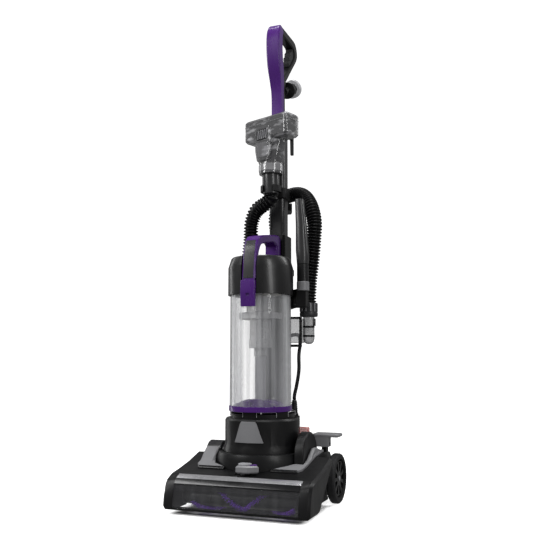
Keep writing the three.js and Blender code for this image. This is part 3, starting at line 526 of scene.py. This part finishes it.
# ---- floor -------------------------------------------------------------------------------------
def floor():
    """A pale round stage: level under the cleaner, curving up far away on every side."""
    level, curve, height, sides = 3.4, 1.5, 5.0, 96
    profile = [(0.6, 0), (2.0, 0), (level, 0)]
    profile += [(level + curve * math.sin(a), curve - curve * math.cos(a))
                for a in (0.26 * i for i in range(1, 7))]
    profile += [(level + curve, height)]
    corners = [(0, 0, 0)]
    for radius, z in profile:
        turns = [2 * math.pi * j / sides for j in range(sides)]
        corners += [(radius * math.cos(turn), radius * math.sin(turn), z) for turn in turns]
    faces = [(0, 1 + j, 1 + (j + 1) % sides) for j in range(sides)]
    for i in range(len(profile) - 1):
        for j in range(sides):
            a, b = 1 + i * sides + j, 1 + i * sides + (j + 1) % sides
            faces.append((a, a + sides, b + sides, b))
    mesh = bpy.data.meshes.new("floor")
    mesh.from_pydata(corners, [], faces)
    made = bpy.data.objects.new("floor", mesh)
    bpy.context.scene.collection.objects.link(made)
    for face in mesh.polygons:
        face.use_smooth = True
    paper = Shader("studio paper")
    paper.link(paper.blend(paper.noise(0.8, 2), (0.93, 0.93, 0.93, 1), (0.97, 0.97, 0.97, 1)), "Base Color")
    paper.set(roughness=0.9, specular_ior_level=0.1, emission_color=(1, 1, 1, 1))
    paper.link(glow_with_painted_shadow(paper, 0.85), "Emission Strength")
    mesh.materials.append(paper.material)
    made.visible_glossy = False
    made.visible_diffuse = False
    made.visible_shadow = False


floor()


# ---- brush -------------------------------------------------------------------------------------
def bristles(name, start, node):
    """One spiral row of nylon tufts; every tuft is a small spray of tapering bristles."""
    rng = random.Random(7)
    corners, faces = [], []
    tufts = 44
    for k in range(tufts):
        part = (k + 0.5) / tufts
        turn = start + math.pi * 1.15 * (1 - abs(2 * part - 1))
        x0 = -96 + part * 214
        for _ in range(22):
            along, lean = rng.uniform(-2.6, 2.6), rng.uniform(-0.13, 0.13)
            spray = rng.uniform(-1.9, 1.9)
            foot_at = (x0 + along, turn + lean * 0.6, 16.6)
            tip_at = (x0 + along + spray, turn + lean * 1.7, rng.uniform(25.0, 26.4))
            base = len(corners)
            for (x, a, r), wide in ((foot_at, 0.5), (tip_at, 0.3)):
                for j in range(3):
                    t = 2 * math.pi * j / 3
                    across = wide * math.cos(t)
                    y = BRUSH[0] + r * math.cos(a) - across * math.sin(a)
                    z = BRUSH[1] + r * math.sin(a) + across * math.cos(a)
                    corners.append(at(x + wide * math.sin(t), y, z))
            faces += [(base + j, base + (j + 1) % 3, base + 3 + (j + 1) % 3, base + 3 + j) for j in range(3)]
            faces += [(base + 2, base + 1, base), (base + 3, base + 4, base + 5)]
    made = piece_from(name, corners, faces, BRISTLE, "brush")
    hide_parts(node)


bristles("tufts_a", 0.4, "bristle_row_a")
bristles("tufts_b", 0.4 + math.pi, "bristle_row_b")

# ---- trim and small parts ----------------------------------------------------------------------
def inlay():
    """Grey plate let into the front of the carry handle's leg."""
    curve = centripetal([at(0, y, z) for y, z in ((70.1, 467), (72.9, 500), (78.9, 532), (86, 549))], 0.004)
    front = [((p.y - FOOT_FRONT) * 1000 - 0.5, p.z * 1000) for p in curve]
    back = [(y + 2.5, z) for y, z in reversed(front)]
    prism("leg_inlay", front + back, -11.5, 11.5, "yz", INLAY_GREY, "dust_bin", 0.0008)


def tilted_ring(name, profile, degrees, centre, skin, body):
    """A turned piece whose axis leans back from upright, about X."""
    made = turned(name, profile, (0, -FOOT_FRONT * 1000, 0), skin, body)
    made.data.transform(Matrix.Rotation(math.radians(degrees), 4, "X"))
    made.data.transform(Matrix.Translation(at(*centre)))
    return made


def hook_end():
    """Silver cap pressed over the outer end of the upper cord hook."""
    lean = -65
    profile = [(14.4, 65), (21, 66.8), (22.3, 68.4), (22.3, 80), (20.5, 82.6), (17, 83), (17, 82.2),
               (20, 81.6), (21.8, 79.6), (21.8, 69), (14.4, 65.8)]
    tilted_ring("hook_cap", profile, lean, (5, 267, 936), SILVER, "upper_hook")


def bin_hem_highlight():
    """Painted highlight: a bright line along the edge of the clear skirt that follows the teeth of the base's
    rim.
    """
    radius, low, high = 69.2, 183.6, 193.6
    for i in range(6):
        middle = -math.pi / 2 + i * math.pi / 3 + 0.5
        half = 0.3
        path = []
        for angle, height in ((middle - half, low), (middle - half, high - 1), (middle - half + 0.03, high),
                              (middle + half - 0.03, high), (middle + half, high - 1), (middle + half, low)):
            path.append(at(radius * math.cos(angle), BASE_Y + radius * math.sin(angle), height))
        fine = evenly(path, 0.0012)
        for k, point in enumerate(fine):
            flat = Vector((point.x, point.y - at(0, BASE_Y, 0).y, 0)).normalized() * radius / 1000
            fine[k] = Vector((flat.x, flat.y + at(0, BASE_Y, 0).y, point.z))
        swept(f"skirt_hem_highlight_{i}", fine, [0.0005] * len(fine), 6, HEM_HIGHLIGHT, "upright")


def turned_on_cuff(made):
    """Turns a piece with the stowed head, about the upper cuff."""
    spot = at(0, 200, 0)
    turn = Matrix.Translation(spot) @ Matrix.Rotation(math.radians(-20), 4, "Z") @ Matrix.Translation(-spot)
    made.data.transform(turn)
    return made


def turbine_housing():
    """Raised air-turbine cover on the front of the stowed head, with its window and vanes."""
    cover = [(-17, 744), (17, 744), (22, 768), (23, 812), (18, 823), (-18, 823), (-23, 812), (-22, 768)]
    turned_on_cuff(prism("turbine_cover", cover, 169.6, 176.5, "xz", SMOKE, "turbo_tool", 0.002))
    sill = [(-16, 792), (16, 792), (17, 812), (13, 817), (-13, 817), (-17, 812)]
    window = prism("turbine_window", sill, 169.0, 171.2, "xz", GLOSS_BLACK, "turbo_tool")
    turned_on_cuff(window)
    for i in range(5):
        x = -12 + 6 * i
        vane = [(x - 0.9, 794), (x + 0.9, 794), (x + 2.2, 815), (x + 0.6, 815)]
        turned_on_cuff(prism(f"turbine_vane_{i}", vane, 168.2, 169.6, "xz", PALE_GREY, "turbo_tool",
                             0.0002))
    panel = [(-12, 752), (12, 752), (16, 770), (16, 786), (-16, 786), (-16, 770)]
    turned_on_cuff(prism("turbine_panel", panel, 168.9, 171, "xz", SMOKE_PALE, "turbo_tool"))


def stowed_head_highlight_and_collar():
    """Pale parting line round the stowed head, which is also a painted highlight along its upper bevel, and
    the bright collar where it grips the cuff.
    """
    left, right, low, high = -59.4, 69.4, 171.6, 220.4
    corners = []
    for x, y, first in ((left, low, 180), (right, low, 270), (right, high, 0), (left, high, 90)):
        inset = 9 + 0.4
        cx = x + inset if x == left else x - inset
        cy = y + inset if y == low else y - inset
        arc = [math.radians(first + t) for t in (0, 30, 60, 90)]
        corners += [(cx + inset * math.cos(a), cy + inset * math.sin(a)) for a in arc]
    corners.append(corners[0])
    # pale seam: a parting line that also stands as a painted highlight along the upper bevel
    path = evenly([at(x, y, 831) for x, y in corners], 0.002)
    turned_on_cuff(swept("head_seam_highlight", path, [0.0006] * len(path), 6, HAZE, "turbo_tool"))
    collar = [(27.1, -8), (27.9, -7), (27.9, 7), (27.1, 8), (26.4, 8), (26.4, -8)]
    turned("neck_collar", collar, (0, 200, 730), CLOUDED, "turbo_tool")


def cuff_ribs():
    """Upright grip ribs round the swivel cuff of the hose."""
    for i in range(12):
        angle = 2 * math.pi * i / 12
        outer, inner, half = 20.4, 19.2, 1.3
        x, y = 83, 216
        ux, uy = math.cos(angle), math.sin(angle)
        outline = [(x + inner * ux - half * uy, y + inner * uy + half * ux),
                   (x + inner * ux + half * uy, y + inner * uy - half * ux),
                   (x + outer * ux + half * uy, y + outer * uy - half * ux),
                   (x + outer * ux - half * uy, y + outer * uy + half * ux)]
        prism(f"cuff_rib_{i}", outline, 405, 423.4, "xy", MID_GREY, "hose_swivel", 0.0004)


def elbow_frame():
    """Dark band and release latch on the see-through elbow."""
    band = [(11.4, -2.2), (13, -1.6), (13, 1.6), (11.4, 2.2)]
    for i, height in enumerate((352, 372)):
        turned(f"elbow_band_{i}", band, (83, 216, height), GLOSS_BLACK, "upright", edge=0.0003)
    latch = [(94.6, 209), (97.6, 211), (97.6, 221), (94.6, 223)]
    prism("elbow_latch", latch, 374, 390, "xy", GLOSS_BLACK, "upright", 0.0008)


def slider_top():
    """Raised thumb rest of the height slider, with a purple facet at its pointer."""
    rest = [(-6, 37), (12, 36), (21, 45), (12, 54), (-6, 53)]
    prism("slider_rest", rest, 94.6, 99, "xy", PALE_GREY, "height_control", 0.0016)
    facet = [(18.5, 36.5), (31.5, 45), (20, 54), (24.5, 45)]
    prism("slider_facet", facet, 94.4, 97.2, "xy", PURPLE, "height_control", 0.0008)


def panel_lips():
    """Black chamfer along the front edge of each grey panel."""
    section = [(65.2, 80.2), (65.6, 83.6), (69.4, 86.6), (71.6, 86.8), (71.6, 80.4)]
    prism("lip_left", section, -107.6, -50, "yz", GLOSS_BLACK, "foot", 0.001)
    prism("lip_right", section, 50, 105.6, "yz", GLOSS_BLACK, "foot", 0.001)


def window_header():
    """Black band inside the top of the window, and a thin black edge below the smoked strip."""
    band = [(12.6, 46), (13.8, 46), (16.6, 56.5), (14.6, 57)]
    prism("window_header", band, -130.5, 130.5, "yz", GLOSS_BLACK, "foot", 0.0003)
    edge = [(8.9, 57.2), (9.6, 59.6), (16.4, 67.7), (17.2, 67.1), (11.2, 59.4), (10.2, 56.6)]
    prism("window_edge", edge, -130.7, 130.7, "yz", GLOSS_BLACK, "foot", 0.0003)


def sole_lip_painted_shade():
    """A guessed front lip below the window; as a dark plate it is also painted shade for the inside of the
    brush chamber, keeping the pale floor from showing through it.
    """
    blade = [(4.7, 15), (8, 12.5), (22, 7), (22, 5.4), (7, 10.6), (4.7, 12.6)]
    prism("sole_lip_painted_shade", blade, -130, 130, "yz", MATT_BLACK, "foot", 0.0004)


def holder_band():
    """Grey band moulded round the lower part of the crevice tool's holder."""
    band = [(12.6, -10), (13.6, -9), (13.6, 9), (12.6, 10)]
    turned("holder_band", band, (*CREVICE, 457.5), MID_GREY, "upright", edge=0.0004)


def relief_ribs():
    """Ribs of the rubber sleeve that keeps the mains cord from kinking."""
    for i in range(6):
        height = 187.5 + 4 * i
        radius = 7.6 - 0.25 * i
        rib = [(4.4, -0.9), (radius, -0.9), (radius + 0.4, 0), (radius, 0.9), (4.4, 0.9)]
        turned(f"relief_rib_{i}", rib, (50, 213, height), SOFT_BLACK, "upright", edge=0.0002)


def duct_frame():
    """Dark frame that carries the see-through inlet duct and the elbow's latch."""
    inner, outer = 32, 71
    for name, low, high in (("duct_sill", 328, 333.5), ("duct_lintel", 389, 394)):
        outline = [(inner, 199.6), (outer, 199.6), (outer, 206), (inner, 206)]
        prism(name, outline, low, high, "xy", GLOSS_BLACK, "upright", 0.0012)
    post = [(66, 199.6), (outer, 199.6), (outer, 206), (66, 206)]
    prism("duct_post", post, 333.5, 389, "xy", GLOSS_BLACK, "upright", 0.001)


def bin_humps():
    """Raised ribs moulded on the inside of the bin door."""
    ridge = [(-44, 205), (-38, 211), (-12, 213), (-10, 219), (16, 220), (22, 215), (46, 209), (50, 205)]
    prism("door_ridge", ridge, 96, 106, "xz", PURPLE, "dust_bin", 0.0012)
    rail = [(-20, 205), (-18, 216), (-4, 216), (-2, 205)]
    prism("door_rail", rail, 84, 94, "xz", PURPLE, "dust_bin", 0.0012)


inlay()
hook_end()
bin_hem_highlight()
turbine_housing()
stowed_head_highlight_and_collar()
cuff_ribs()
elbow_frame()
slider_top()
panel_lips()
window_header()
sole_lip_painted_shade()
holder_band()
relief_ribs()
duct_frame()
bin_humps()
